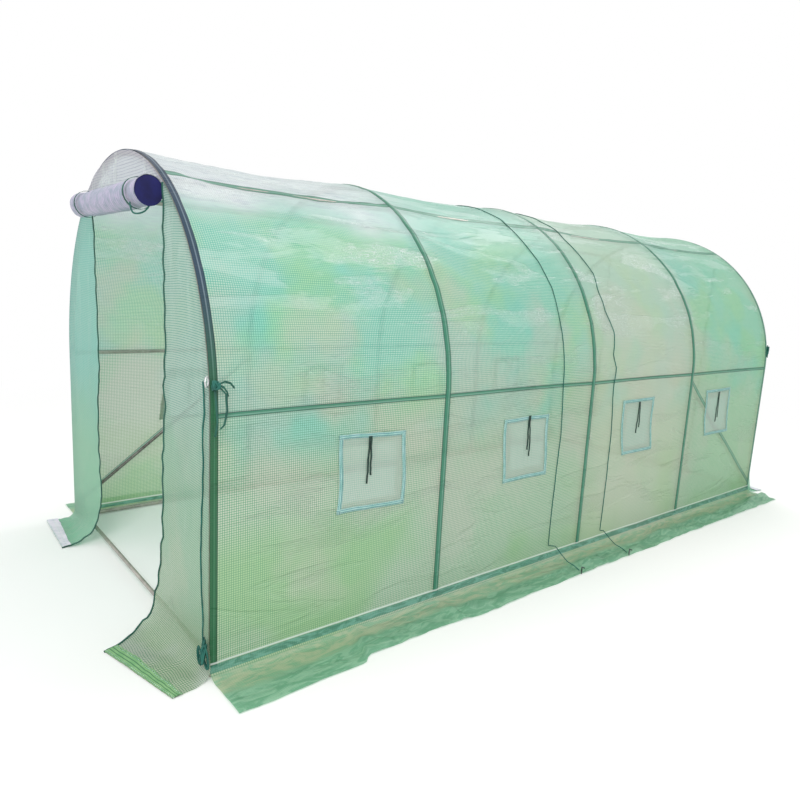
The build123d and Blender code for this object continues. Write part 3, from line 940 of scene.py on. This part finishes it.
def window(side_name, side, k):
    """One window's flap, net, edge tapes and hanging ties. Returns the lines that its stitches follow."""
    tag, centre, (hw, hh) = f"{side_name}_{k + 1}", WINDOW_Y[k], WINDOW_HALF

    def on_wall(y, z, off):
        y, z = warp_window(side, k, y, z)
        x, _, _ = cover_point(side * (ARC_END + LEG_TOP - z), y, off)
        return x, y, z

    flap = grid_piece(
        f"window_flap_{tag}", spread(centre - hw, centre + hw, 0.02),
        spread(WINDOW_Z - hh, WINDOW_Z + hh, 0.02), lambda y, z: on_wall(y, z, FLAP_OFF),
    )
    dress(flap, FLAP)
    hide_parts(f"window_flaps_{side_name}")
    net = grid_piece(
        f"window_net_{tag}", spread(centre - hw + NET_INSET, centre + hw - NET_INSET, 0.03),
        spread(WINDOW_Z - hh + NET_INSET, WINDOW_Z + hh - NET_INSET, 0.03),
        lambda y, z: on_wall(y, z, NET_OFF),
    )
    dress(net, NET)
    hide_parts(f"window_nets_{side_name}")

    seams = []
    for edge_name, a, b, across in (
        ("top", (-hw, hh - TAPE_INSET), (hw, hh - TAPE_INSET), (0, 0, 1)),
        ("bottom", (-hw, TAPE_INSET - hh), (hw, TAPE_INSET - hh), (0, 0, 1)),
        ("front", (TAPE_INSET - hw, -hh), (TAPE_INSET - hw, hh), (0, 1, 0)),
        ("back", (hw - TAPE_INSET, -hh), (hw - TAPE_INSET, hh), (0, 1, 0)),
    ):

        def along(f, off, inset=0.0, a=a, b=b, across=across):
            y = centre + a[0] + (b[0] - a[0]) * f + inset * across[1]
            z = WINDOW_Z + a[1] + (b[1] - a[1]) * f + inset * across[2]
            return on_wall(y, z, off)

        tape_along(
            f"window_tape_{edge_name}_{tag}",
            lambda f, along=along, across=across: (along(f, TAPE_OFF), across),
            spread(0, 1, 0.08), EDGE_TAPE, 0.0012, TAPE,
        )
        for inset in (-0.007, 0.007):
            seams.append([along(f, STITCH_OFF, inset) for f in spread(0.01, 0.99, 0.1)])

    for strand, length in enumerate(TIE_LENGTHS[k]):
        way = 1 if strand else -1

        def hang(f, strand=strand, length=length, way=way):
            swing = way * (0.004 + 0.013 * f * (0.5 + 0.5 * ripple(k * 2.0 + way, side, 3.0)))
            swing += 0.004 * ripple(f * 2.2, way * 3 + k, side)
            y, z = centre + swing, WINDOW_Z + hh - 0.012 - length * f
            x = on_wall(y, z, TIE_OFF + 0.001 * strand)[0]
            return (x, y, z), (0, 1, 0.1 * way)

        tape_along(
            f"window_strap_{strand + 1}_{tag}", hang, spread(0, 1, 0.08), 0.008, 0.002,
            STRAP, [f"window_ties_{side_name}"],
        )
    return seams


for side_name, side in SIDES:
    seams = []
    for k in range(len(WINDOW_Y)):
        seams += window(side_name, side, k)
    stitch_rows(f"window_stitches_{side_name}", seams, 0.009, 0.0055, 0.001, STITCH, seed=11)


def cord_piece(name, points, radius, material, nodes=(), order=3):
    """A round cord along a run of points, smoothed. An order of 2 keeps its runs straight."""
    curve = bpy.data.curves.new(name, "CURVE")
    curve.dimensions = "3D"
    spline = curve.splines.new("NURBS")
    spline.points.add(len(points) - 1)
    for p, co in zip(spline.points, points):
        p.co = (*co, 1)
    spline.order_u, spline.use_endpoint_u = order, True
    curve.bevel_depth, curve.bevel_resolution, curve.resolution_u = radius, 2, 3
    curve.use_fill_caps = True
    cord = bpy.data.objects.new(name, curve)
    scene.collection.objects.link(cord)
    depsgraph = bpy.context.evaluated_depsgraph_get()
    mesh = bpy.data.meshes.new_from_object(cord.evaluated_get(depsgraph))
    bpy.data.objects.remove(cord)
    cord = bpy.data.objects.new(name, mesh)
    scene.collection.objects.link(cord)
    mesh.polygons.foreach_set("use_smooth", [True] * len(mesh.polygons))
    dress(cord, material)
    if nodes:
        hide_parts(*nodes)
    return cord


# Ropes over the cover

# Each rope's place along the tunnel, and its sideways steps as (metres round from the ridge, step)
ROPE_Y = (-0.24, 0.22)
ROPE_RUN = (
    (
        (0.0, 0.0), (0.4, -0.03), (0.77, -0.035), (1.03, -0.015), (1.35, -0.026), (1.5, -0.022),
        (1.85, -0.008), (2.22, -0.03), (2.48, -0.03),
    ),
    (
        (0.0, 0.0), (0.45, -0.02), (0.61, -0.05), (0.78, -0.05), (0.92, -0.022), (1.035, -0.052),
        (1.16, -0.042), (1.29, 0.005), (1.42, -0.026), (1.5, 0.005), (1.6, -0.012), (1.9, 0.016),
        (2.3, 0.008), (2.49, 0.001),
    ),
)

# How far from the tunnel's middle the ropes leave the wall and meet the pegs, and how far they stand off
ROPE_WALL_X, PEG_X, ROPE_OFF = 1.006, 1.199, 0.0045


def rope_line(y0, run):
    """The points of a rope from peg to peg. The left side's steps are smaller and go the other way."""
    line = []
    places = sorted({*(-t for t, _ in run), *(t for t, _ in run)})
    for a, b in zip(places, places[1:] + [None]):
        for t in [a] if b is None else spread(a, b, 0.08)[:-1]:
            step = float(np.interp(abs(t), *zip(*run))) * (1 if t > 0 else -0.6)
            line.append(cover_point(t, y0 + step, ROPE_OFF))
    for side in (-1, 1):
        feet = []
        for f in (0.1, 0.35, 0.6, 0.8):
            x = side * (ROPE_WALL_X + (PEG_X - ROPE_WALL_X) * f)
            feet.append((x, y0 + 0.008 * math.sin(f * 9), 0.085 * (1 - f) ** 1.6 + 0.018))
        feet.append((side * PEG_X, y0, 0.014))
        line = line + feet if side > 0 else feet[::-1] + line
    return line


for i, (y0, run) in enumerate(zip(ROPE_Y, ROPE_RUN), 1):
    name = f"hold_down_rope_{i}"
    cord_piece(name, rope_line(y0, run), 0.0026, DARK_CORD, [f"wind_rope_{i}"], order=2)


# Straps round the rolled door

for k, x in enumerate(ROLL_TIES):
    turns = [
        (x + 0.004 * math.sin(a * 2), ROLL_Y + STRAP_R * math.sin(a), ROLL_Z + STRAP_R * math.cos(a))
        for a in np.linspace(0, 2 * math.pi, 22)
    ]
    tape_along(
        f"roll_strap_{k + 1}", lambda i, turns=turns: (turns[i], (1, 0, 0)), range(len(turns)), 0.016, 0.0015,
        DARK_TAPE, ["door_roll_ties"],
    )


# Cords, knots and the bow on the front hoop


def knot(name, centre, size, seed, radius=0.003):
    """A tangle of cord."""
    line = []
    for a in np.linspace(0, 2 * math.pi, 70):
        rise = math.cos(7 * a - seed) + 0.4 * math.sin(2 * a)
        wild = (math.sin(3 * a + seed), math.sin(5 * a + 2 * seed), rise)
        line.append(tuple(c + d * w for c, d, w in zip(centre, size, wild)))
    return cord_piece(name, line, radius, DARK_CORD)


# Knots at the feet of the four corner legs, and one at the top of a back leg
CORNER_KNOTS = ((0.985, -2.270), (-0.955, -2.225), (0.955, 2.225), (-0.955, 2.225))
for k, (x, y) in enumerate(CORNER_KNOTS):
    knot(f"corner_knot_{k + 1}", (x, y, 0.095), (0.022, 0.013, 0.042), 1.3 + k, 0.0034)
knot("back_knot", (0.996, 2.258, 1.13), (0.006, 0.006, 0.035), 4.0, 0.0025)

# The cord down the front right leg
seam = []
for z in spread(0.09, 1.12, 0.04):
    x = 0.955 + 0.012 * math.sin(z * 7 + 1) + 0.010 * ripple(z * 6, 3.0)
    seam.append((x, -END_Y - 0.009 - 0.004 * ripple(z * 5, 8.0), z))
cord_piece("front_seam_cord", seam, 0.0032, DARK_CORD)

# The ring and the bow at the top of that leg, with the bow's tails as runs of points from its knot
RING = (1.006, -2.262, 1.125)
turns = [
    (RING[0] + 0.011 * math.cos(a), RING[1] - 0.011 * math.cos(a) - 0.004, RING[2] + 0.019 * math.sin(a))
    for a in np.linspace(0, 2 * math.pi, 7)
]
cord_piece("white_tie_ring", turns, 0.0034, WHITE_RING, order=2)
knot("bow_knot", (1.014, -2.235, 1.112), (0.008, 0.012, 0.012), 2.2, 0.0035)
BOW_TAILS = (
    ((1.014, -2.23, 1.115), (1.020, -2.205, 1.125), (1.022, -2.185, 1.118), (1.020, -2.170, 1.100)),
    ((1.014, -2.23, 1.115), (1.020, -2.21, 1.105), (1.018, -2.195, 1.085), (1.016, -2.19, 1.070)),
    (
        (1.014, -2.23, 1.112), (1.018, -2.20, 1.08), (1.017, -2.195, 1.02), (1.016, -2.205, 0.97),
        (1.015, -2.22, 0.955),
    ),
    ((1.014, -2.24, 1.11), (1.015, -2.235, 1.04), (1.015, -2.23, 0.98), (1.015, -2.238, 0.93)),
)
for k, tail in enumerate(BOW_TAILS):
    across = (0.3, 0.3, 1) if k < 2 else (0.2, 1, 0)
    tape_along(
        f"bow_tail_{k + 1}", lambda i, tail=tail, across=across: (tail[i], across), range(len(tail)),
        0.008, 0.0015, DARK_TAPE,
    )

# The cord that hangs from the right end of the rolled door
loop = (
    (0.46, -2.345, 1.745), (0.49, -2.352, 1.705), (0.525, -2.335, 1.698), (0.545, -2.305, 1.715),
    (0.545, -2.285, 1.76),
)
cord_piece("roll_end_loop", loop, 0.0032, DARK_CORD)


# Light, floor and camera


def pale_floor():
    """Plain pale floor that fades to the white of the backdrop away from the tunnel."""
    n = Nodes(bpy.data.materials.new("pale_floor"))
    where = n.add("ShaderNodeTexCoord").outputs["Object"]
    far = n.add("ShaderNodeVectorMath", operation="LENGTH", inputs={0: where}).outputs["Value"]
    base = n.add("ShaderNodeBsdfDiffuse", inputs={"Color": (0.9, 0.9, 0.89, 1)})
    white = n.add("ShaderNodeEmission", inputs={"Color": (1, 1, 1, 1)})
    fade = n.ramp(far, 2.6, 6.5)
    mixed = n.add("ShaderNodeMixShader", inputs={0: fade, 1: base.outputs[0], 2: white.outputs[0]})
    return n.finish(mixed.outputs[0])


FLOOR_HALF, FLOOR_Z = 40, -0.001
corners = [(x * FLOOR_HALF, y * FLOOR_HALF, FLOOR_Z) for x, y in ((-1, -1), (1, -1), (1, 1), (-1, 1))]
floor_mesh = bpy.data.meshes.new("floor")
floor_mesh.from_pydata(corners, [], [(0, 1, 2, 3)])
floor = bpy.data.objects.new("floor", floor_mesh)
scene.collection.objects.link(floor)
floor_mesh.materials.append(pale_floor())


def studio():
    """White to the camera and to reflections, and a little less as light."""
    n = Nodes(bpy.data.worlds.new("studio"))
    path = n.add("ShaderNodeLightPath")
    seen = n.larger(path.outputs["Is Camera Ray"], path.outputs["Is Glossy Ray"])
    strength = n.add("ShaderNodeMapRange", inputs={"Value": seen, "To Min": 0.95, "To Max": 1.0})
    white = {"Color": (1, 1, 1, 1), "Strength": strength.outputs["Result"]}
    back = n.add("ShaderNodeBackground", inputs=white)
    return n.finish(back.outputs[0], "ShaderNodeOutputWorld")


scene.world = studio()


def softbox(name, place, aim, size, power):
    """A square lamp, turned to what it lights."""
    lamp = bpy.data.lights.new(name, "AREA")
    lamp.size, lamp.energy = size, power
    ob = bpy.data.objects.new(name, lamp)
    scene.collection.objects.link(ob)
    ob.location = place
    ob.rotation_euler = (Vector(aim) - Vector(place)).to_track_quat("-Z", "Y").to_euler()


softbox("key_softbox", (5.5, -5.5, 6.0), (0, -0.5, 0.9), 3.0, 300)
softbox("top_softbox", (-1.0, 3.5, 6.5), (0, -0.5, 1.2), 3.0, 120)

# The photograph's camera: its place, its turns in radians, and its lens and picture in pixels
CAMERA_PLACE = (3.15, -3.1655, 1.49)
YAW, PITCH, TILT = -0.883, -0.174, 0.054
FOCAL, PICTURE = 657.3, 800

camera = bpy.data.cameras.new("camera")
view = bpy.data.objects.new("camera", camera)
scene.collection.objects.link(view)
ahead = Vector((math.sin(YAW) * math.cos(PITCH), math.cos(YAW) * math.cos(PITCH), math.sin(PITCH)))
right = ahead.cross(Vector((0, 0, 1))).normalized()
up = right.cross(ahead)
c, s = math.cos(TILT), math.sin(TILT)
right, up = c * right + s * up, c * up - s * right
rows = [(right[i], up[i], -ahead[i], CAMERA_PLACE[i]) for i in range(3)]
view.matrix_world = Matrix((*rows, (0, 0, 0, 1)))
camera.sensor_width = 36
camera.lens = camera.sensor_width * FOCAL / PICTURE
camera.clip_end = 200
scene.camera = view
scene.view_settings.view_transform = "Standard"
